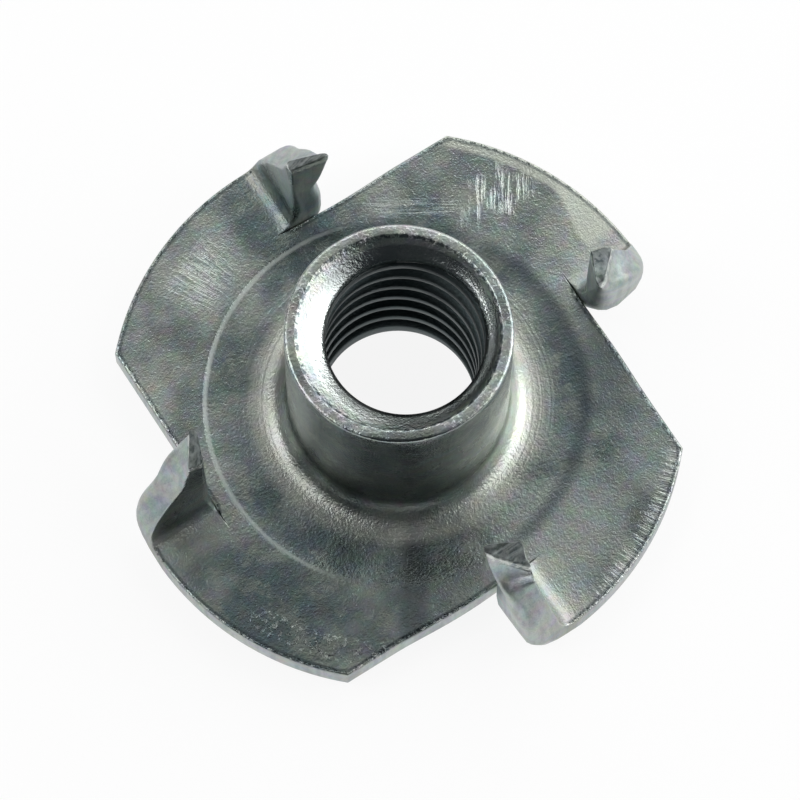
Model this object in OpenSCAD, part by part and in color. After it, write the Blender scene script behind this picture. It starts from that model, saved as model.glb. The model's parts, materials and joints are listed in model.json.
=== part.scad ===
// Four-prong tee nut, formed from one piece of sheet steel.
// The flange lies on the XY plane with the barrel up +Z; the origin is the
// centre of the flange's underside. All lengths are in millimetres.

/* [Flange] */
// Diameter of the round blank
flange_d = 19; // [17.5:0.5:24]
// Thickness of the sheet
plate_t = 1.2; // [0.9:0.1:1.5]
// Diameter of the coined ring pressed around the barrel
coin_d = 12.9; // [11.4:0.1:13.4]
// Depth of the coined ring
coin_depth = 0.08; // [0.04:0.02:0.2]
// Width of the sloping edge of the coined ring
coin_edge_w = 0.12; // [0.06:0.02:0.3]

/* [Barrel] */
// Height of the whole nut, from the underside to the lip
nut_h = 8.2; // [7:0.1:12]
// Outside diameter of the drawn barrel
barrel_d = 7.3; // [6.6:0.1:8.2]
// Diameter of the bore, which is the minor diameter of its M6 thread
bore_d = 5.1; // [4.8:0.05:5.4]
// Radius of the trumpet fillet between flange and barrel
root_fillet = 1; // [0.5:0.1:1.3]
// Radius of the drawn entry under the flange
entry_round = 1; // [0.4:0.1:1.3]
// Width of the lip between the barrel's side and the countersink
lip_w = 0.35; // [0.25:0.05:0.45]
// Rounding of the lip's outer edge
lip_round = 0.15; // [0.05:0.05:0.2]
// Depth of the countersink at the mouth
mouth_depth = 0.55; // [0.3:0.05:1]

/* [Prongs] */
// Number of prongs around the flange
prong_count = 4; // [3:1:4]
// Distance of each straight cut from the axis
cut_offset = 7; // [6.8:0.1:7.4]
// Gap that the shear leaves beside a prong
shear_gap = 0.06; // [0.04:0.02:0.16]
// Distance of the prong's hollow face past the middle of the cut
face_offset = 0.2; // [0:0.1:0.6]
// Inside radius of the bend
bend_r = 0.7; // [0.4:0.1:1]
// Radius of the bend's outer corner, which the die squeezes sharper than the inside
corner_r = 0.9; // [0.5:0.1:1.5]
// Height of the tip above the flange's underside
prong_h = 6.3; // [5.6:0.1:7.6]
// Drop of the tip towards the outer face of the bend
tip_drop = 0.1; // [0:0.1:0.8]
// Width of the chisel tip
tip_w = 0.25; // [0.15:0.05:0.4]
// Length of the slim spike at the tip
spike_len = 1.6; // [1.2:0.1:2]
// Width of the prong where the spike begins
spike_w = 0.75; // [0.6:0.05:1]
// Height at which the outer edge starts to lean inwards
shoulder_h = 1.7; // [1.3:0.1:2.2]
// Radius of the outer edge's shoulder
shoulder_r = 1.4; // [0.6:0.1:2]
// Radius of the hollow below the spike
hollow_r = 2; // [1:0.1:3]
// Turn of the outer edge's cut from the sheet's normal, in degrees
trim_skew = 14; // [0:1:20]

/* [Hidden] */
$fn = 96;

flange_r = flange_d / 2;
barrel_r = barrel_d / 2;
bore_r = bore_d / 2;
coin_r = coin_d / 2;
mouth_r = barrel_r - lip_w;
coin_z = plate_t - coin_depth;
mouth_z = nut_h - mouth_depth;

// Prong frame: +Y points out to the middle of the cut, +X along the cut
prong_w = flange_r - cut_offset;
hollow_face_x = face_offset;
outer_face_x = face_offset + plate_t;
bend_x = face_offset - bend_r;
spike_z = prong_h - spike_len;
// Overlap that carries a prong's root, or a cutter, past a face
lap = 0.5;

// Unit vector from point a to point b
function toward(a, b) = (b - a) / norm(b - a);
// Cross product of two plane vectors, positive for a left turn
function turn(a, b) = a[0] * b[1] - a[1] * b[0];

// Sliver between a corner of an outline and the arc that rounds it, lapping past the corner
module corner_sliver(before, corner, after, r) {
    back = toward(corner, before);
    ahead = toward(corner, after);
    half = acos(back * ahead) / 2;
    reach = r / tan(half);
    inward = toward([0, 0], back + ahead);
    centre = corner + inward * r / sin(half);
    difference() {
        polygon([corner - inward * lap, corner + back * reach, centre, corner + ahead * reach]);
        translate(centre) circle(r);
    }
}

// Outline with each corner rounded to its own radius; the points run anticlockwise
module rounded_outline(points, radii) {
    n = len(points);
    module slivers(side) {
        for (i = [0 : n - 1]) {
            before = points[(i + n - 1) % n];
            after = points[(i + 1) % n];
            bend = turn(points[i] - before, after - points[i]);
            if (radii[i] > 0 && side * bend > 0)
                corner_sliver(before, points[i], after, radii[i]);
        }
    }
    difference() {
        union() {
            polygon(points);
            slivers(-1);
        }
        slivers(1);
    }
}

// Half section of the disc and its drawn barrel, without the cuts
module turned_section() {
    points = [
        [bore_r, 0],
        [flange_r, 0],
        [flange_r, plate_t],
        [coin_r, plate_t],
        [coin_r - coin_edge_w, coin_z],
        [barrel_r, coin_z],
        [barrel_r, nut_h],
        [mouth_r, nut_h],
        [bore_r, mouth_z]
    ];
    radii = [entry_round, 0, 0, 0, 0, root_fillet, lip_round, 0, 0];
    rounded_outline(points, radii);
}

// Side profile of a prong: the sheet runs in along +X and turns up
module prong_profile() {
    points = [
        [bend_x - lap, 0],
        [outer_face_x, 0],
        [outer_face_x, prong_h - tip_drop],
        [hollow_face_x, prong_h],
        [hollow_face_x, plate_t],
        [bend_x - lap, plate_t]
    ];
    radii = [0, corner_r, 0, 0, bend_r, 0];
    rounded_outline(points, radii);
}

// Face of a prong: straight inner edge, S-shaped outer edge up to the spike
module prong_face() {
    points = [
        [-prong_w, -lap],
        [prong_w, -lap],
        [prong_w, shoulder_h],
        [spike_w, spike_z],
        [tip_w, prong_h],
        [tip_w, prong_h + lap],
        [-prong_w, prong_h + lap]
    ];
    radii = [0, 0, shoulder_r, hollow_r, 0, 0, 0];
    rounded_outline(points, radii);
}

// One prong in its own frame, trimmed to the blank's rim
module prong() {
    reach = flange_d;
    intersection() {
        translate([0, flange_r + lap, 0])
            rotate([90, 0, 0])
                linear_extrude(flange_r + lap - cut_offset - shear_gap)
                    prong_profile();
        translate([outer_face_x, cut_offset, 0])
            rotate([0, 0, -trim_skew])
                rotate([90, 0, 90])
                    linear_extrude(reach, center = true)
                        prong_face();
        translate([0, 0, -lap])
            cylinder(r = flange_r, h = prong_h + 2 * lap);
    }
}

// Clear space that a bent-up prong leaves in the flange
module prong_slot() {
    translate([bend_x, cut_offset, -lap])
        cube([flange_r, flange_r, plate_t + 2 * lap]);
}

// The whole nut: drawn disc, the cuts in its rim and the prongs turned up from them
module tee_nut() {
    color("slategray") {
        difference() {
            rotate_extrude() turned_section();
            for (i = [0 : prong_count - 1])
                rotate(i * 360 / prong_count) prong_slot();
        }
        for (i = [0 : prong_count - 1])
            rotate(i * 360 / prong_count) prong();
    }
}

tee_nut();
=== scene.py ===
# %% [markdown]
# A four-prong tee nut, pressed from one blank of sheet steel and zinc plated.
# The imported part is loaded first, as a fixed frame in metres. It gives the nut's real sizes, so the
# detailed nut that is modelled here takes its place without any fitting.

# %% Load the frame
import json
import math

import bmesh
import bpy
from mathutils import Matrix, Vector, noise


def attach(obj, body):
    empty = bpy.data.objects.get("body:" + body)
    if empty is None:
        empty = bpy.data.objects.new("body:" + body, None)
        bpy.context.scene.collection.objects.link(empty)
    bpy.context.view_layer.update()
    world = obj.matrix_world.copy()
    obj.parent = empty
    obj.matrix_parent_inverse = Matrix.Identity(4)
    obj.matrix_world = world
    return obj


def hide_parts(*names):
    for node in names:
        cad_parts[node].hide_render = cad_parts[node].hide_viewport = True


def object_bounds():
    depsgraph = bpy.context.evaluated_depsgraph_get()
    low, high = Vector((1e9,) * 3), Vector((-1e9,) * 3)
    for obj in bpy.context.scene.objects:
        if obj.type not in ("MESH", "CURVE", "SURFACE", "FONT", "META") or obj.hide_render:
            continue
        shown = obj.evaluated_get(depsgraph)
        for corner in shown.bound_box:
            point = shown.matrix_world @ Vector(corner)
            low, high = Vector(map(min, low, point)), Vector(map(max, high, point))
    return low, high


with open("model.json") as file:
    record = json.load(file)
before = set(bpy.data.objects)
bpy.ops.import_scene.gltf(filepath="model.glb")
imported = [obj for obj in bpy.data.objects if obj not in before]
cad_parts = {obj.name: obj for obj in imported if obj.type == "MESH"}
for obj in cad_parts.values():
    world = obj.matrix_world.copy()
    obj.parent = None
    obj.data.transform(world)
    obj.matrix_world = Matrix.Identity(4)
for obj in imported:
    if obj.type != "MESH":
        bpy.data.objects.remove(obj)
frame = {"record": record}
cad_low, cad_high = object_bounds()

# %% Sizes read from the frame, in millimetres
MM = 0.001
mounts = {mount["name"]: mount for mount in frame["record"]["mounts"]}
flange_r = (cad_high.x - cad_low.x) / 2 / MM
nut_h = cad_high.z / MM
plate_t = mounts["seat"]["pos_m"][2] / MM
barrel_r = mounts["barrel"]["dims"]["r_mm"]
bore_r = mounts["thread"]["dims"]["r_mm"]
nut_turn = Matrix.Rotation(math.radians(-33.3), 3, "Z")
picture_right = nut_turn @ Vector((1, 0, 0))
picture_up = nut_turn @ Vector((0, 1, 0))
print(f"flange {2 * flange_r:.1f}, height {nut_h:.1f}, sheet {plate_t:.2f}, bore {2 * bore_r:.2f} mm")

# %% [markdown]
# A real tee nut starts as a flat blank. A punch shears four slits along chords of the disc, and each
# strip outside a slit will be turned up as a prong. One quarter of the blank is laid out flat here in
# three patches that share their borders: the land under the slit, the wing that stays round, and the
# strip. Rows crowd towards the sheared edges, because those edges will be rounded later.

# %% Cuts of the blank
cut_y = 7.0
slit = 0.014
slit_open = 0.02
bend_x = -0.5
bend_r = 0.7
join_r = 6.68
strip_y = cut_y + slit
corner_angle = math.asin(cut_y / flange_r)
COLUMNS = 48
SLIT_COLUMN = 25
column_step = math.pi / 2 / COLUMNS
rim_y = math.sqrt(flange_r ** 2 - bend_x ** 2)
root_width = rim_y - strip_y
edge_rows = [0.0, 0.03, 0.08, 0.16, 0.28, 0.45]
print(f"slits {cut_y:.1f} mm from the axis, strips {root_width:.2f} mm wide")


def smooth(low, high, value):
    """Rises smoothly from 0 to 1 between two values."""
    share = min(max((value - low) / (high - low), 0.0), 1.0)
    return share * share * (3 - 2 * share)


def mix(first, second, share):
    return first + (second - first) * share


# %% Outline of a prong, by height
FOLD_STEPS = 40


def fold_angle(share):
    """Slope of the hollow face at a share of the fold; it starts and ends softly."""
    return math.pi / 2 * smooth(0, 1, share)


def fold_path(share):
    """How far the hollow face has come, along and up, for a fold of length 1."""
    middles = [fold_angle(share * (step + 0.5) / FOLD_STEPS) for step in range(FOLD_STEPS)]
    return [share * sum(map(way, middles)) / FOLD_STEPS for way in (math.cos, math.sin)]


turn_len = bend_r / fold_path(1)[0]
turn_top = plate_t + bend_r
tip_z = 6.35
strip_len = turn_len + tip_z - turn_top
shoulder_z = 1.4
spike_z = 4.9
shoulder_cut = 1.74
spike_taper = 0.17
trim_z = 1.3
plump_taper = 0.34
round_trim = 0.138
round_power = 1.8


def height(along):
    """Height of the hollow face at a length along the strip."""
    if along < turn_len:
        return plate_t + turn_len * fold_path(along / turn_len)[1]
    return turn_top + along - turn_len


def hollow_width(z):
    """Width of the prong on its hollow face: an S curve into a slim spike."""
    return root_width - shoulder_cut * smooth(shoulder_z, spike_z, z) - spike_taper * max(z - spike_z, 0)


def plump_width(z):
    """Width on the hollow face of a prong that was trimmed straighter."""
    return root_width - plump_taper * max(z - trim_z, 0)


def outer_width(z):
    """Width on the outer face, which keeps the round edge of the disc for longer."""
    return root_width - round_trim * max(z - trim_z, 0) ** round_power


print(f"prong: {strip_len:.2f} mm of strip, spike from {spike_z:.1f} to {tip_z:.2f} mm")


# %% Rows across the strip and the wing
strip_rows = 15


def across(width):
    """Distances of the rows from a strip's inner edge."""
    squeeze = min(1.0, 0.42 * width / edge_rows[-1])
    near = [row * squeeze for row in edge_rows]
    middle = [mix(near[-1], width - near[-1], share) for share in (0.25, 0.5, 0.75)]
    return near + middle + [width - row for row in reversed(near)]


below_slit = [cut_y - row for row in reversed(edge_rows[:5])]
attach_ys = [math.sqrt(join_r ** 2 - bend_x ** 2)] + below_slit
attach_ys += [strip_y + distance for distance in across(root_width)]
ROWS = len(attach_ys) - 1
corner_rows = [flange_r - row * 1.35 for row in reversed(edge_rows)]
free_rows = ROWS + 1 - len(corner_rows)
corner_rs = [mix(join_r, corner_rows[0], row / free_rows) for row in range(free_rows)] + corner_rows


def lay_grid(blank, columns, rows, place):
    """Adds a grid and moves each vertex to place(column, row)."""
    grid = bmesh.ops.create_grid(blank, x_segments=columns, y_segments=rows, size=1.0)
    for vert in grid["verts"]:
        column = round((vert.co.x + 1) / 2 * columns)
        row = round((vert.co.y + 1) / 2 * rows)
        vert.co = place(column, row)


def polar(radius, angle):
    return Vector((radius * math.cos(angle), radius * math.sin(angle), 0))


def wing_place(column, row):
    """From the bend line, column 0, to the next corner of the flange."""
    share = column / (COLUMNS - SLIT_COLUMN)
    start = Vector((bend_x, attach_ys[row], 0))
    start_angle = math.atan2(start.y, start.x)
    angle = corner_angle + (SLIT_COLUMN + column) * column_step
    lean = start_angle - (corner_angle + SLIT_COLUMN * column_step)
    return polar(mix(start.length, corner_rs[row], smooth(0, 1, share)), angle + lean * (1 - share) ** 2)


def land_place(column, row):
    """From the corner, column 0, along the slit to its end."""
    angle = corner_angle + column * column_step
    share = column / SLIT_COLUMN
    end = attach_ys[min(row, 1)] if row <= ROWS - 4 else below_slit[row - ROWS - 1]
    if column == SLIT_COLUMN:
        return Vector((bend_x, end, 0))
    edge = min(flange_r, cut_y / math.sin(angle))
    deep = edge - join_r
    corner_share = (corner_rs[row] - join_r) / (flange_r - join_r)
    end_share = (end - attach_ys[0]) / (cut_y - attach_ys[0])
    return polar(join_r + deep * mix(corner_share, end_share, share ** 0.5), angle)


def strip_place(column, row):
    along = strip_columns[column]
    return Vector((bend_x + along, strip_y + across(hollow_width(height(along)))[row], 0))


bend_columns = [turn_len * step / 8 for step in range(9)]
tip_columns = [strip_len - row * 0.8 for row in reversed(edge_rows)]
straight = [mix(turn_len, tip_columns[0], step / 24) for step in range(1, 24)]
strip_columns = bend_columns + straight + tip_columns

blank = bmesh.new()
lay_grid(blank, COLUMNS - SLIT_COLUMN, ROWS, wing_place)
lay_grid(blank, SLIT_COLUMN, ROWS, land_place)
lay_grid(blank, len(strip_columns) - 1, strip_rows - 1, strip_place)
bmesh.ops.remove_doubles(blank, verts=blank.verts, dist=0.004)
bmesh.ops.spin(blank, geom=blank.faces[:], axis=(0, 0, 1), angle=math.pi * 1.5, steps=3, use_duplicate=True)
bmesh.ops.remove_doubles(blank, verts=blank.verts, dist=0.004)
print(f"blank: {len(blank.faces)} faces, {sum(e.is_boundary for e in blank.edges)} border edges")

# %% Give the blank its thickness
front = bmesh.ops.extrude_face_region(blank, geom=blank.faces[:] + blank.edges[:] + blank.verts[:])
front_verts = [g for g in front["geom"] if isinstance(g, bmesh.types.BMVert)]
bmesh.ops.translate(blank, vec=(0, 0, 1), verts=front_verts)
inner_wall = [f for f in blank.faces if all(v.co.xy.length < join_r + 0.01 for v in f.verts)]
bmesh.ops.delete(blank, geom=inner_wall, context="FACES")
standing = [e for e in blank.edges if abs(e.verts[0].co.z - e.verts[1].co.z) > 0.5]
uprights = [e for e in standing if len(e.link_faces) == 2]
bmesh.ops.subdivide_edges(blank, edges=uprights, cuts=2, use_grid_fill=True)
print(f"plate: {len(blank.faces)} faces, {len(inner_wall)} inner walls removed, {len(uprights)} uprights")

# %% [markdown]
# Shearing leaves its marks. Where the punch enters, the edge rolls over, and where it leaves, a thin
# burr stands. Then the press turns each strip up, and twists it a little. One function does to each
# point of the flat plate what the press tool does to the steel.

# %% Shear and bend
roll_r = 0.28
burr_r = 0.05
strip_burr_r = 0.3
slide_r = 8.0
edge_reach = 0.5
tip_reach = 0.9
twist_x = 0.8
twist_y = 7.2
slit_end = 0.6
waist_z = 3.7
tip_flare = 0.06
lean_z = 2.0
scoop_z = 4.6
fold_mark = 0.35
tip_roughness = 0.07
ROUGHNESS_SEED = 7
SKIN_LAYERS = ("edge", "tip", "fold")
# Twist is in degrees, plump, fill and waist are shares, skew and scoop are slopes, and the rest is in
# millimetres, for each prong in turn, from the one at the end of the first slit and on round the nut:
# slide along the rim, skew of the fold, lean of the tip, how short and how slanted the tip is,
# plump for a straighter trim, scoop in the tip, fill of the outer corner, waist below the tip,
# and roll for the rounding of the outer face's edges.
SHAPE_NAMES = ("twist", "slide", "skew", "lean", "short", "slant", "plump", "scoop", "fill", "waist",
               "roll")
shape_rows = [
    (17, 0.2, 0.05, 0.05, 0.35, 0.55, 0.1, 0.9, 0.28, 0.2, 0.42),
    (18, 0.0, 0.05, 0.0, 0.1, -0.2, 0.0, 0.5, 0.28, 0.2, 0.42),
    (20, -0.45, 0.0, 0.2, 1.0, 0.75, 0.7, 1.2, 0.28, 0.08, 0.55),
    (22, -0.2, 0.2, 0.1, 0.6, 0.0, 1.0, 0.5, 0.0, 0.08, 0.95),
]
prong_shapes = [dict(zip(SHAPE_NAMES, row)) for row in shape_rows]


def edge_distance(x, y):
    """Distance of a point of the flange from its sheared border."""
    to_rim = flange_r - math.hypot(x, y)
    to_next_slit = cut_y + x
    to_slit = cut_y - y + 0.5 * max(bend_x + slit_end - x, 0)
    beside_slit = x > bend_x - 1e-4 and y < cut_y + slit / 2
    return max(min(to_rim, to_next_slit, to_slit if beside_slit else flange_r), 0.0)


def rounding(distance, radius):
    """How far a rounded edge lies below its face."""
    if distance >= radius:
        return 0.0
    return radius * (1 - math.sqrt(1 - (1 - distance / radius) ** 2))


def depth_in_sheet(side, distance, roll, burr):
    """Depth below the front face: 0 in front, plate_t at the back, rounded at the border."""
    top = rounding(distance, burr)
    bottom = plate_t - rounding(distance, roll)
    return mix(bottom, top, (0, 0.05, 0.95, 1)[round(side * 3)])


def press_strip(x, y, side, shape):
    along = x - bend_x
    z_front = height(along)
    flat_width = hollow_width(z_front)
    to_slit = y - strip_y + 0.5 * max(slit_end - along, 0)
    to_rim = strip_y + flat_width - y
    border = max(min(to_slit, to_rim, strip_len - along), 0.0)
    roll = min(mix(roll_r, shape["roll"], smooth(0, 0.8, along)), 0.4 * flat_width)
    burr = mix(burr_r, strip_burr_r, smooth(0.3, 1.5, along)) if to_slit < to_rim else burr_r
    burr = min(burr, 0.17 * flat_width)
    depth = depth_in_sheet(side, border, roll, burr)
    share = depth / plate_t
    waist = 1 - shape["waist"] * math.exp(-(z_front - waist_z) ** 2) + tip_flare * smooth(4.8, tip_z, z_front)
    turned = min(along / turn_len, 1)
    angle = fold_angle(turned)
    deep = depth * waist * (1 + shape["fill"] * share * math.sin(2 * angle) ** 2)
    skew = shape["skew"] * (y - strip_y - 0.9)
    new_x = bend_x + turn_len * fold_path(turned)[0] + (deep - skew) * math.sin(angle)
    new_z = max(z_front - deep * math.cos(angle), 0)
    inner_width = mix(flat_width, plump_width(z_front), shape["plump"])
    width = mix(inner_width, max(outer_width(z_front), 0.2), share)
    close = slit_open * smooth(0, turn_len, along)
    new_y = strip_y + close + (y - strip_y) / flat_width * (width - close)
    new_z += (shape["slant"] * share - shape["scoop"] * (new_y - strip_y)) * smooth(scoop_z, tip_z, z_front)
    new_z -= shape["short"] * smooth(lean_z, tip_z, z_front)
    turn = math.radians(shape["twist"]) * smooth(0.6, 5.8, new_z)
    dx, dy = new_x - twist_x, new_y - twist_y
    dx += shape["lean"] * smooth(lean_z, tip_z, new_z)
    pressed = Vector((twist_x + dx * math.cos(turn) + dy * math.sin(turn),
                      twist_y - dx * math.sin(turn) + dy * math.cos(turn), new_z))
    past_rim = pressed.xy.length / (flange_r - 0.001)
    if past_rim > 1:
        pressed.xy = pressed.xy / past_rim
    pressed.rotate(Matrix.Rotation(-shape["slide"] / slide_r, 3, "Z"))
    burnished = max(1 - border / edge_reach, (1 - side) * smooth(0.1, 0.7, along), 0)
    fold = math.exp(-((along - fold_mark) / 0.45) ** 2)
    return pressed, (burnished, smooth(tip_z - tip_reach, tip_z, z_front), fold)


def press_flange(x, y, side, shape):
    border = edge_distance(x, y)
    pressed = Vector((x, y, plate_t - depth_in_sheet(side, border, roll_r, burr_r)))
    carried = smooth(bend_x - 2.4, bend_x, x) * (1 - smooth(1.5, 4.5, x))
    carried *= smooth(join_r, join_r + 0.3, pressed.xy.length)
    pressed.rotate(Matrix.Rotation(-shape["slide"] / slide_r * carried, 3, "Z"))
    fold = math.exp(-((x - bend_x) / 0.5) ** 2) * smooth(cut_y - 0.1, cut_y + 0.4, y) * 0.55
    return pressed, (max(1 - border / edge_reach, 0), 0.0, fold)


def press(blank):
    edge_layer, tip_layer, fold_layer = [blank.verts.layers.float.new(name) for name in SKIN_LAYERS]
    for vert in blank.verts:
        turn = (math.atan2(vert.co.y, vert.co.x) - corner_angle + 1e-4) % (2 * math.pi)
        number = math.floor(turn / (math.pi / 2))
        quarter = Matrix.Rotation(number * math.pi / 2, 3, "Z")
        flat = quarter.inverted() @ vert.co
        on_strip = flat.y > strip_y - slit / 2 and flat.x > bend_x + 1e-4
        shaped, marks = (press_strip if on_strip else press_flange)(*flat, prong_shapes[number])
        edge, tip, fold = marks
        if tip > 0:
            shaped += tip_roughness * tip * noise.noise_vector(shaped * 3.5 + Vector((number * 7, 0, 0)))
        vert.co = quarter @ shaped
        vert[edge_layer] = edge
        vert[tip_layer] = tip
        vert[fold_layer] = fold


noise.seed_set(ROUGHNESS_SEED)
press(blank)
print(f"pressed: prongs up to {max(v.co.z for v in blank.verts):.2f} mm")

# %% [markdown]
# The barrel is drawn out of the same sheet, so it is round about the axis: half of its section is
# drawn as a line and spun. The line runs from the underside, round the funnel entry, and after a gap
# for the thread over the countersink, the lip, the barrel's side and its trumpet fillet.

# %% Section of the barrel
entry_r = 1.0
root_r = 1.0
mouth_depth = 0.55
lip_w = 0.35
lip_r = 0.12
coin_depth = 0.08
coin_r = 6.45
coin_w = 0.18
STEPS = 4 * COLUMNS
thread_low, thread_high = entry_r, nut_h - mouth_depth
coin_z = plate_t - coin_depth


def arc(centre_r, centre_z, radius, start, end, steps):
    """Points of an arc in the section, angles in degrees."""
    angles = [math.radians(mix(start, end, step / steps)) for step in range(steps + 1)]
    return [(centre_r + radius * math.cos(a), centre_z + radius * math.sin(a)) for a in angles]


def line(start, end, steps):
    return [(mix(start[0], end[0], s / steps), mix(start[1], end[1], s / steps)) for s in range(1, steps)]


underside = [(join_r, 0)] + line((join_r, 0), (bore_r + entry_r, 0), 8)
underside += arc(bore_r + entry_r, entry_r, entry_r, 270, 180, 10)
mouth_r = barrel_r - lip_w
root_z = coin_z + root_r
root_x = barrel_r + root_r
upper = [(bore_r, thread_high)] + line((bore_r, thread_high), (mouth_r, nut_h), 5)
upper += [(mouth_r - 0.03, nut_h - 0.025), (mouth_r, nut_h - 0.004), (mouth_r + 0.03, nut_h)]
upper += arc(barrel_r - lip_r, nut_h - lip_r, lip_r, 90, 0, 5)
upper += line((barrel_r, nut_h - lip_r), (barrel_r, root_z), 14)
upper += arc(root_x, root_z, root_r, 180, 270, 14)
upper += line((root_x, coin_z), (coin_r - coin_w, coin_z), 8)
upper += [(coin_r - coin_w - 0.03, coin_z), (coin_r - coin_w + 0.02, coin_z + 0.014)]
upper += [(coin_r - 0.02, plate_t - 0.014), (coin_r + 0.03, plate_t), (join_r, plate_t)]


def spun(body, section):
    """Spins a section line a whole turn about the axis."""
    start = Matrix.Rotation(corner_angle, 3, "Z")
    verts = [body.verts.new(start @ Vector((r, 0, z))) for r, z in section]
    edges = [body.edges.new(pair) for pair in zip(verts, verts[1:])]
    bmesh.ops.spin(body, geom=verts + edges, axis=(0, 0, 1), angle=2 * math.pi, steps=STEPS, use_merge=True)


body = bmesh.new()
spun(body, underside)
spun(body, upper)
print(f"barrel: {len(body.faces)} faces")

# %% [markdown]
# A tap cuts the thread last. Its turns are spun too, but each step also climbs a little, so that a
# whole turn climbs one pitch and its rows meet the turn above. The ends are then cut off level, and
# the groove fades out there, as where a tap runs out.

# %% Tap the bore
pitch = 1.0
thread_depth = 0.42
TURN_ROWS = 10
fade = 0.45
turns = math.ceil((thread_high - thread_low) / pitch) + 1
start = Matrix.Rotation(corner_angle, 3, "Z")
thread_first = [Vector((bore_r, 0, thread_low + pitch * (row / TURN_ROWS - 1)))
                for row in range(turns * TURN_ROWS + 1)]
tap = bmesh.new()
tap_verts = [tap.verts.new(start @ point) for point in thread_first]
tap_edges = [tap.edges.new(pair) for pair in zip(tap_verts, tap_verts[1:])]
bmesh.ops.spin(tap, geom=tap_verts + tap_edges, axis=(0, 0, 1), angle=2 * math.pi, steps=STEPS,
               dvec=(0, 0, pitch / STEPS))


def groove(angle, z):
    """Radius of the tapped wall: flat crests at the bore, flanks, and rounded roots."""
    wave = 0.5 - 0.5 * math.cos(2 * math.pi * (z / pitch - angle / (2 * math.pi)))
    run_out = smooth(thread_low, thread_low + fade, z) * (1 - smooth(thread_high - fade, thread_high, z))
    return bore_r + thread_depth * smooth(0.15, 0.95, wave) * run_out


def tapped(flat):
    """Place of a point of the wall once the tap has cut it, with the ends cut off level."""
    angle = math.atan2(flat.y, flat.x)
    z = min(max(flat.z, thread_low), thread_high)
    return polar(groove(angle, z), angle) + Vector((0, 0, z))


for vert in tap.verts:
    vert.co = tapped(vert.co)
bmesh.ops.remove_doubles(tap, verts=tap.verts, dist=0.002)
bmesh.ops.dissolve_degenerate(tap, edges=tap.edges, dist=0.0005)
print(f"thread: {len(tap.faces)} faces")

# %% [markdown]
# The plate, the barrel and the thread share the places of their border points, so they are put into
# one mesh and welded there. The finished nut is a single closed skin.

# %% Weld the nut
coin_soft_w = 1.1
coin_inner_r = 5.2
mouth_shift = picture_right * 0.21
for layer in SKIN_LAYERS:
    body.verts.layers.float.new(layer)
for part in (blank, tap):
    piece = bpy.data.meshes.new("part")
    part.to_mesh(piece)
    body.from_mesh(piece)
    bpy.data.meshes.remove(piece)
    part.free()
bmesh.ops.remove_doubles(body, verts=body.verts, dist=0.006)
bmesh.ops.dissolve_degenerate(body, edges=body.edges, dist=0.0005)
bmesh.ops.recalc_face_normals(body, faces=body.faces)
open_edges = sum(not e.is_manifold for e in body.edges)
for vert in body.verts:
    if coin_inner_r < vert.co.xy.length < coin_r + 0.02 and vert.co.z > coin_z - 0.01:
        faded = smooth(-4.5, 0.5, vert.co.dot(picture_right))
        step_w = mix(coin_w, coin_soft_w, faded)
        vert.co.z = plate_t - coin_depth * (1 - smooth(coin_r - step_w, coin_r, vert.co.xy.length))
    if vert.co.xy.length < mouth_r:
        lip_share = 1 - smooth(bore_r + 0.2, mouth_r, vert.co.xy.length)
        vert.co += mouth_shift * smooth(4.0, nut_h - 0.4, vert.co.z) * lip_share
print(f"nut: {len(body.faces)} faces, {open_edges} open edges")

bmesh.ops.scale(body, vec=(MM, MM, MM), verts=body.verts)
for face in body.faces:
    face.smooth = True
mesh = bpy.data.meshes.new("tee_nut_pressed")
body.to_mesh(mesh)
body.free()
nut = bpy.data.objects.new("tee_nut_pressed", mesh)
bpy.context.scene.collection.objects.link(nut)
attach(nut, "root")
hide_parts("tee_nut")

# %% [markdown]
# The camera stands high over the nut, as it does when a small part is photographed on a table. Its
# place comes from the nut itself: the ellipse of the flange gives the height of the view, and the
# corners beside the prongs give the turn.

# %% Camera
FRAME_PX = 800
camera_distance = 161.0
camera_elevation = math.radians(72.15)
camera_roll = math.radians(0.67)


def link(name, data):
    """Puts new data into the scene as an object."""
    made = bpy.data.objects.new(name, data)
    bpy.context.scene.collection.objects.link(made)
    return made


lens = bpy.data.cameras.new("camera")
lens.sensor_width = 36
lens.lens = 4850.5 / FRAME_PX * lens.sensor_width
lens.shift_x = 2.0 / FRAME_PX
lens.shift_y = 11.7 / FRAME_PX
lens.clip_start, lens.clip_end = 0.01, 10
away = nut_turn @ Vector((0, math.cos(camera_elevation), -math.sin(camera_elevation)))
right = picture_right.copy()
right.rotate(Matrix.Rotation(-camera_roll, 3, away))
camera_turn = Matrix((right, right.cross(away), -away)).transposed()
camera = link("camera", lens)
camera.matrix_world = Matrix.Translation(away * -camera_distance * MM) @ camera_turn.to_4x4()
bpy.context.scene.camera = camera
print(f"camera {camera_distance:.0f} mm away, lens {lens.lens:.0f} mm")

# %% [markdown]
# A finish is described with fields, which are values that change from place to place on the surface.
# This small class lets fields be added and multiplied like numbers, so that the recipes below read
# as formulas. Every other kind of node comes from its one method.

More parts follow.
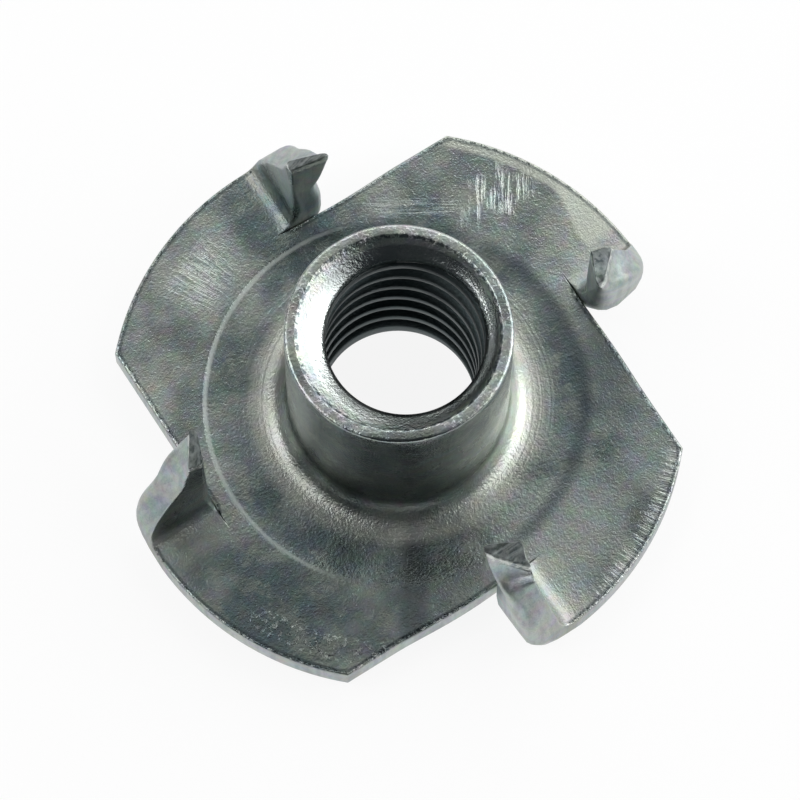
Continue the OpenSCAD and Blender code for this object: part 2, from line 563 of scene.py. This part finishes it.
# %% Fields for the finishes
class Field:
    """A value that changes over a surface."""

    def __init__(self, socket):
        self.socket = socket

    def node(self, kind, settings=None, sockets=None, output=0):
        """Adds a node beside this one and gives back one of its outputs."""
        made = self.socket.id_data.nodes.new(kind)
        for name, value in (settings or {}).items():
            setattr(made, name, value)
        for name, value in (sockets or {}).items():
            if isinstance(value, Field):
                made.id_data.links.new(value.socket, made.inputs[name])
            else:
                made.inputs[name].default_value = value
        return Field(made.outputs[output])

    def maths(self, operation, *values):
        return self.node("ShaderNodeMath", {"operation": operation}, dict(enumerate(values)))

    def __add__(self, other):
        return self.maths("ADD", self, other)

    __radd__ = __add__

    def __sub__(self, other):
        return self.maths("SUBTRACT", self, other)

    def __rsub__(self, other):
        return self.maths("SUBTRACT", other, self)

    def __mul__(self, other):
        return self.maths("MULTIPLY", self, other)

    __rmul__ = __mul__

    def rise(self, low, high):
        """0 below one value, 1 above the other, and smooth between them."""
        sockets = {"Value": self, "From Min": low, "From Max": high}
        return self.node("ShaderNodeMapRange", {"interpolation_type": "SMOOTHSTEP"}, sockets)

    def band(self, low, high, soft):
        """1 between two values, with soft borders."""
        return self.rise(low - soft, low + soft) * (1 - self.rise(high - soft, high + soft))

    def split(self):
        """The three parts of a vector."""
        first = self.node("ShaderNodeSeparateXYZ", None, {0: self})
        return [Field(output) for output in first.socket.node.outputs]

    def grain(self, size, detail=2.0, rough=0.5):
        """Soft random grain, with grains of about this size."""
        return self.node("ShaderNodeTexNoise", None,
                         {"Vector": self, "Scale": 1 / size, "Detail": detail, "Roughness": rough})

    def tint(self, first, second):
        """A colour between two others; this field is the share of the second."""
        colours = {6: first, 7: second}
        for key, value in colours.items():
            colours[key] = value if isinstance(value, Field) else (*value, 1)
        return self.node("ShaderNodeMix", {"data_type": "RGBA"}, {0: self, **colours}, output=2)


def vector(x, y, z):
    """A vector made of three fields, for a stretched or bent grain."""
    return x.node("ShaderNodeCombineXYZ", None, {0: x, 1: y, 2: z})


def finish(name):
    """A new material, and the field of places on its surface in millimetres."""
    made = bpy.data.materials.new(name)
    made.use_nodes = True
    spot = Field(made.node_tree.nodes.new("ShaderNodeTexCoord").outputs["Object"])
    return made, spot.node("ShaderNodeVectorMath", {"operation": "SCALE"}, {0: spot, "Scale": 1 / MM})


def wire(shader, name, field):
    """Feeds a field into a socket of a shader."""
    shader.id_data.links.new(field.socket, shader.inputs[name])


# %% [markdown]
# The nut is plated with zinc, which is a bluish grey metal. The bath leaves a fine pebbled skin with
# slow patches of teal, violet and cream. The plate stays thin and dull on the sheared walls. Tools and
# other nuts in the box have scratched the flange.

# %% Zinc plate
zinc, place = finish("zinc plate")
x, y, z = place.split()
radius = x.maths("SQRT", x * x + y * y)
angle = x.maths("ARCTAN2", y, x)
edge, tip, fold = [place.node("ShaderNodeAttribute", {"attribute_name": name}, output=2)
                   for name in SKIN_LAYERS]
wall = edge.rise(0.96, 1.0)
across_nut = x * picture_right.x + y * picture_right.y
along_nut = x * picture_up.x + y * picture_up.y
flange_top = z.band(1.02, 1.3, 0.04) * radius.rise(4.4, 4.9)
lip = z.rise(8.06, 8.15)
sink = z.band(7.62, 8.0, 0.03) * (1 - radius.rise(3.45, 3.5))
bore = (1 - radius.rise(2.98, 3.06)) * (1 - z.rise(7.5, 7.7))
side = radius.band(3.6, 3.7, 0.05)

clouds = place.grain(2.6, 2.0).rise(0.38, 0.62)
stains = place.grain(0.9, 3.0, 0.6)
pebbles = place.grain(0.12, 2.0)
specks = place.grain(0.06, 1.0)
swell = place.grain(2.8, 1.0)
tints = place.node("ShaderNodeTexNoise", None, {"Vector": place, "Scale": 2.2, "Detail": 3.0}, output=1)
chips = place.grain(0.2, 3.0, 0.6)
print(f"fields of the plate: {len(zinc.node_tree.nodes)} nodes")

# %% [markdown]
# Each mark is a field too: 1 where the mark is and 0 elsewhere. A grain that is stretched along one
# direction gives lines, and bands keep the lines to one place on the nut. The tool's marks round the
# barrel and along the rim use the angle and the radius in place of x and y. Some fields here are no
# marks but places of painted light and shade: the highlight and shade of the coin step's ring, a sheen
# on the fillet, a pale highlight on a rim bevel, shade on the flange and along the edges and the lip,
# and light and shade that change with the angle.

# %% Marks of the tools, and places of painted light and shade
drag_lines = vector(across_nut * 11, along_nut * 0.7, z).grain(1.0, 4.0, 0.7).rise(0.49, 0.64)
ragged_ends = along_nut - 0.45 * across_nut + 2.4 * place.grain(0.7, 1.0)
drag = drag_lines * across_nut.band(2.2, 4.2, 0.7) * ragged_ends.band(6.3, 7.8, 0.45) * flange_top
slide_lines = vector(across_nut * 0.6, along_nut * 14, z).grain(1.0, 4.0, 0.7).rise(0.47, 0.6)
slide = slide_lines * across_nut.band(-0.9, 1.6, 0.7) * along_nut.band(6.6, 7.0, 0.3) * flange_top
strokes = vector(angle * 75, radius * 0.8, z * 0).grain(1.0, 3.0, 0.65)
stroke_lines = strokes.rise(0.42, 0.62) * flange_top
rim_teeth = stroke_lines * radius.rise(8.7, 9.3) * angle.band(-1.35, -0.72, 0.12)
fan = stroke_lines * radius.band(7.0, 8.7, 0.4) * angle.band(1.85, 2.12, 0.1)
teeth = rim_teeth + 0.8 * fan
scratches = drag + 0.8 * slide + 0.9 * teeth
rings = vector(radius * 7, angle * 0.3, z * 0).grain(1.0, 2.0) * radius.band(4.2, 5.3, 0.3)
draw_marks = vector(angle * 30, z * 0.5, z * 0).grain(1.0, 2.0) * side
left_side = 1 - across_nut.rise(-3.8, -1.0)
# Painted highlight on the coin step's ring, on the left of the nut.
ring_highlight = radius.band(6.29, 6.42, 0.05) * z.band(1.02, 1.3, 0.04) * left_side
# Painted shade on the coin step's ring, on the right of the nut.
ring_shade = radius.band(5.9, 6.35, 0.2) * across_nut.rise(2.0, 4.5) * flange_top
# Painted warm sheen on the trumpet fillet, all round.
fillet = radius.band(3.95, 4.9, 0.25) * z.band(1.0, 1.9, 0.1)
dents = chips.rise(0.53, 0.6) * radius.band(8.4, 8.95, 0.2) * angle.band(-2.65, -2.15, 0.1) * flange_top
# Painted shade on the flange in front of the barrel, on the flange to the right, and on the fillet at the
# front left.
painted_shade_front = across_nut.band(0.2, 1.1, 0.25) * along_nut.band(-8.3, -4.7, 0.3) * flange_top
painted_shade_right = across_nut.band(6.2, 7.9, 0.7) * along_nut.band(-0.6, 2.4, 0.7) * flange_top
painted_shade_fillet = radius.band(4.0, 5.5, 0.4) * z.band(1.0, 2.0, 0.1)
painted_shade_fillet = painted_shade_fillet * (-0.82 * across_nut - 0.57 * along_nut).rise(1.8, 3.2)
streaks = vector(x * 5, y * 5, z * 0.5).grain(1.0, 2.0).rise(0.38, 0.62)
# Painted shade in a ring round the fillet, darkest in two opposite sectors.
shade = radius.band(4.9, 6.2, 0.5) * (0.5 + 0.5 * angle.maths("COSINE", 2 * angle + 0.29)) * flange_top
# Painted highlight: a pale bevel band along the rim on the top right.
bevel_from = 9.05 - 0.75 * (1 - angle.rise(0.17, 0.4))
bevel_highlight = (radius - bevel_from).rise(-0.06, 0.1) * angle.band(0.13, 0.83, 0.03) * flange_top
beads = chips.rise(0.46, 0.62) * stains.rise(0.42, 0.55) * lip
# Painted shade lines: a ragged dark line round the lip's mouth, and one where the flange's top turns into its
# sheared edges.
lip_shade_line = chips.rise(0.56, 0.44) * radius.band(3.2, 3.32, 0.03) * z.rise(7.9, 8.05)
edge_shade_line = edge.band(0.66, 0.86, 0.07) * flange_top
nicks = chips.rise(0.54, 0.64) * edge.band(0.76, 0.93, 0.05) * flange_top
burrs = chips.rise(0.47, 0.38) * edge.band(0.86, 0.95, 0.04) * flange_top
scooped = tip.rise(0.88, 0.98)
ragged = tip.band(0.55, 0.93, 0.12)
scores = vector(x * 2 + z * 8, y * 2 - z * 5, z * 0).grain(1.0, 1.0)
# Painted light and shade: three lobes by angle round the nut.
painted_sector_light = 0.5 + 0.5 * angle.maths("COSINE", 3 * angle - 1.4)

print(f"with the marks: {len(zinc.node_tree.nodes)} nodes")

# %% [markdown]
# The plate's colour starts as a tone between slate and silver. The tone is a random cloud, with painted
# light and shade that change with the angle round the nut. Every mark is then a layer over it: a share,
# which says where and how strongly, and the layer's own colour. Some layers are painted highlights and
# painted shade, not marks. Gloss and relief are sums of the same fields, so a scratch is pale and cut
# in at the same place.

# %% Colour of the plate
# Painted light and shade are mixed into the random tone: three lobes by angle, the opposite of them near the
# fillet, one darker sector of the flange, and a shade ring round the fillet.
tone_and_painted_light = 0.5 * clouds + 0.5 * painted_sector_light + (1 - radius.rise(4.6, 5.8)) * (0.45 - 0.5 * painted_sector_light)
tone_and_painted_light = tone_and_painted_light - 0.4 * angle.band(0.3, 1.35, 0.3) * radius.band(5.2, 7.1, 0.5) - 0.55 * shade
SLATE = (0.17, 0.22, 0.23)
SILVER = (0.46, 0.50, 0.48)
DULL_WALL = (0.34, 0.38, 0.39)
BRIGHT_WALL = (0.44, 0.48, 0.48)
PALE = (0.66, 0.69, 0.66)
PALE_SPECK = (0.66, 0.70, 0.66)
SCRATCHED = (0.70, 0.74, 0.69)
CREAM = (0.52, 0.53, 0.46)
PALE_HIGHLIGHT = (0.60, 0.63, 0.55)
FILLET_SHEEN = (0.60, 0.58, 0.49)
FOLD_SHEEN = (0.46, 0.45, 0.38)
PAINTED_SHADE = (0.10, 0.12, 0.14)
EDGE_SHADE = (0.06, 0.08, 0.09)
plate_colour = tone_and_painted_light.tint(SLATE, SILVER)
plate_colour = (wall * 0.85).tint(plate_colour, streaks.tint(DULL_WALL, BRIGHT_WALL))
plate_colour = (side * 0.6).tint(plate_colour, (0.17, 0.205, 0.205))
plate_colour = place.node("ShaderNodeMix", {"data_type": "RGBA", "blend_type": "OVERLAY"},
                          {0: 0.28, 6: plate_colour, 7: tints}, output=2)
# Stretch streaks of the bend, tinted cream as a painted sheen of the fold's highlight.
fold_streak_sheen = fold * strokes.rise(0.35, 0.6) * (0.3 + 0.7 * radius.rise(7.8, 8.8))
# The scooped tip facets are painted nearly black as their dark reflection, with the scores showing in it.
scored_dark_reflection = scores.rise(0.42, 0.6).tint((0.02, 0.03, 0.03), (0.14, 0.16, 0.16))
layers = [
    (stains.rise(0.52, 0.36) * 0.4, CREAM),
    (specks.rise(0.58, 0.72) * 0.2, PALE_SPECK),
    (specks.rise(0.42, 0.30) * 0.25, (0.14, 0.18, 0.19)),
    (scratches * 0.65, SCRATCHED),
    # Painted highlight of the rim's bevel band.
    (bevel_highlight * 0.7, PALE_HIGHLIGHT),
    # Stretch streaks in the folds, with a cream painted sheen.
    (fold_streak_sheen * 0.5, FOLD_SHEEN),
    # Painted shade on the coin ring, on the flange in front and on the right, and on the fillet at the front
    # left.
    (ring_shade * 0.6 + painted_shade_front * 0.5 + painted_shade_right * 0.4 + painted_shade_fillet * 0.35, PAINTED_SHADE),
    # Painted highlight on the coin step's ring.
    (ring_highlight * 0.5, (0.62, 0.66, 0.63)),
    # Painted warm sheen on the fillet.
    (fillet * 0.35, FILLET_SHEEN),
    # Painted highlight in the countersink, and painted shade on its far half.
    (sink * 0.6, (0.62, 0.66, 0.65)),
    (sink * along_nut.rise(1.0, 2.2) * 0.6, (0.16, 0.18, 0.18)),
    # Painted shade deep in the tapped bore.
    (bore * 0.92, (0.055, 0.075, 0.08)),
    # Painted shade lines along the flange's edges and round the lip's mouth.
    (edge_shade_line * 0.6 + lip_shade_line * 0.8, EDGE_SHADE),
    (nicks * 0.7, (0.07, 0.09, 0.09)),
    (burrs * 0.75 + beads * 0.15 + dents * 0.5, PALE),
    # Painted dark reflection in the scooped tip facets.
    (scooped * 0.85, scored_dark_reflection),
    (ragged * chips.rise(0.4, 0.55), (0.70, 0.73, 0.70)),
]
for share, layer_colour in layers:
    plate_colour = share.tint(plate_colour, layer_colour)
print(f"colour layers: {len(layers)}")

# %% Gloss and relief of the plate
gloss = 0.19 + 0.10 * clouds + 0.10 * stains + 0.16 * wall + 0.12 * bevel_highlight + 0.2 * fold + 0.1 * fillet
gloss = gloss - 0.05 * sink - 0.06 * side + 0.25 * bore + 0.15 * ring_highlight + 0.2 * scooped
skin = 0.015 * pebbles + 0.005 * specks
relief = (1 - 0.6 * wall) * (1 - 0.8 * ring_highlight) * skin + 0.08 * swell
relief = relief - 0.010 * scratches + 0.02 * rings + 0.012 * draw_marks + 0.014 * fold * strokes
relief = relief + 0.006 * beads - 0.03 * nicks + 0.015 * burrs + 0.05 * dents
relief = relief + ragged * 0.05 * chips + scooped * 0.02 * scores

shader = zinc.node_tree.nodes["Principled BSDF"]
shader.inputs["Metallic"].default_value = 1
wire(shader, "Base Color", plate_colour)
wire(shader, "Roughness", gloss)
bump = relief.node("ShaderNodeBump", None, {"Strength": 1.0, "Distance": MM, "Height": relief})
wire(shader, "Normal", bump)
mesh.materials.append(zinc)
print(f"zinc plate: {len(zinc.node_tree.nodes)} nodes")

# %% [markdown]
# The nut lies on white paper. The paper is seen as white, by the camera and in the metal, and a part
# of its brightness is real light on real paper, so the nut still throws a soft shadow on it.

# %% White paper
paper_drop = 0.02
paper_share = 0.9
sheet = bmesh.new()
bmesh.ops.create_grid(sheet, x_segments=1, y_segments=1, size=1.0)
bmesh.ops.translate(sheet, vec=(0, 0, -paper_drop * MM), verts=sheet.verts)
paper_mesh = bpy.data.meshes.new("paper")
sheet.to_mesh(paper_mesh)
sheet.free()
paper_sheet = link("paper", paper_mesh)
paper, paper_place = finish("paper")
paper_mesh.materials.append(paper)
seen = paper_place.node("ShaderNodeLightPath")
rays = {output.name: Field(output) for output in seen.socket.node.outputs}
white = rays["Is Camera Ray"] + rays["Is Glossy Ray"] + rays["Is Transmission Ray"]
paper_shader = paper.node_tree.nodes["Principled BSDF"]
paper_shader.inputs["Base Color"].default_value = (0.9, 0.9, 0.9, 1)
paper_shader.inputs["Roughness"].default_value = 0.8
glow = white.node("ShaderNodeEmission", None, {"Strength": 1.0})
lit = Field(paper_shader.outputs[0])
shown = white.node("ShaderNodeMixShader", None, {0: paper_share * white.rise(0, 1), 1: lit, 2: glow})
paper.node_tree.links.new(shown.socket, paper.node_tree.nodes["Material Output"].inputs["Surface"])
print(f"paper {paper_drop} mm under the nut")

# %% [markdown]
# Metal shows the room around it. Two soft boxes on the right, one of them low, and one higher on the
# left draw the bright bands on the fillet and in the countersink. A box at the back lifts the far side
# of the flange. The room is grey overhead and dark behind the camera, so the front of the barrel stays
# dark.

# %% Studio light
def soft_box(name, bearing, elevation, distance, width, tall, level):
    """A square lamp at a bearing from the picture's right, aimed at the nut."""
    lamp = bpy.data.lights.new(name, "AREA")
    lamp.shape = "RECTANGLE"
    lamp.size, lamp.size_y = width, tall
    lamp.energy = level * width * tall * math.pi
    bearing, elevation = math.radians(bearing), math.radians(elevation)
    level_part = math.cos(elevation)
    toward = Vector((math.cos(bearing) * level_part, math.sin(bearing) * level_part, math.sin(elevation)))
    toward = nut_turn @ toward
    box = link(name, lamp)
    aim = toward.to_track_quat("Z", "Y").to_matrix().to_4x4()
    box.matrix_world = Matrix.Translation(toward * distance) @ aim


soft_box("right box", 14, 35, 0.25, 0.32, 0.22, 2.4)
soft_box("low right box", 12, 18, 0.25, 0.11, 0.07, 4.5)
soft_box("left box", 184, 46, 0.25, 0.18, 0.17, 2.8)
soft_box("back box", 90, 36, 0.25, 0.30, 0.12, 2.0)

room = bpy.data.worlds.new("room")
bpy.context.scene.world = room
room.use_nodes = True
sky = Field(room.node_tree.nodes.new("ShaderNodeTexCoord").outputs["Generated"])
far_up = nut_turn @ Vector((-0.05, 0.77, 0.63))
facing = sky.node("ShaderNodeVectorMath", {"operation": "DOT_PRODUCT"}, {0: sky, 1: far_up}, output=1)
room_light = facing.rise(0.5, 0.95).tint((0.03, 0.035, 0.04), (0.44, 0.45, 0.44))
wire(room.node_tree.nodes["Background"], "Color", room_light)
bpy.context.scene.view_settings.view_transform = "Standard"
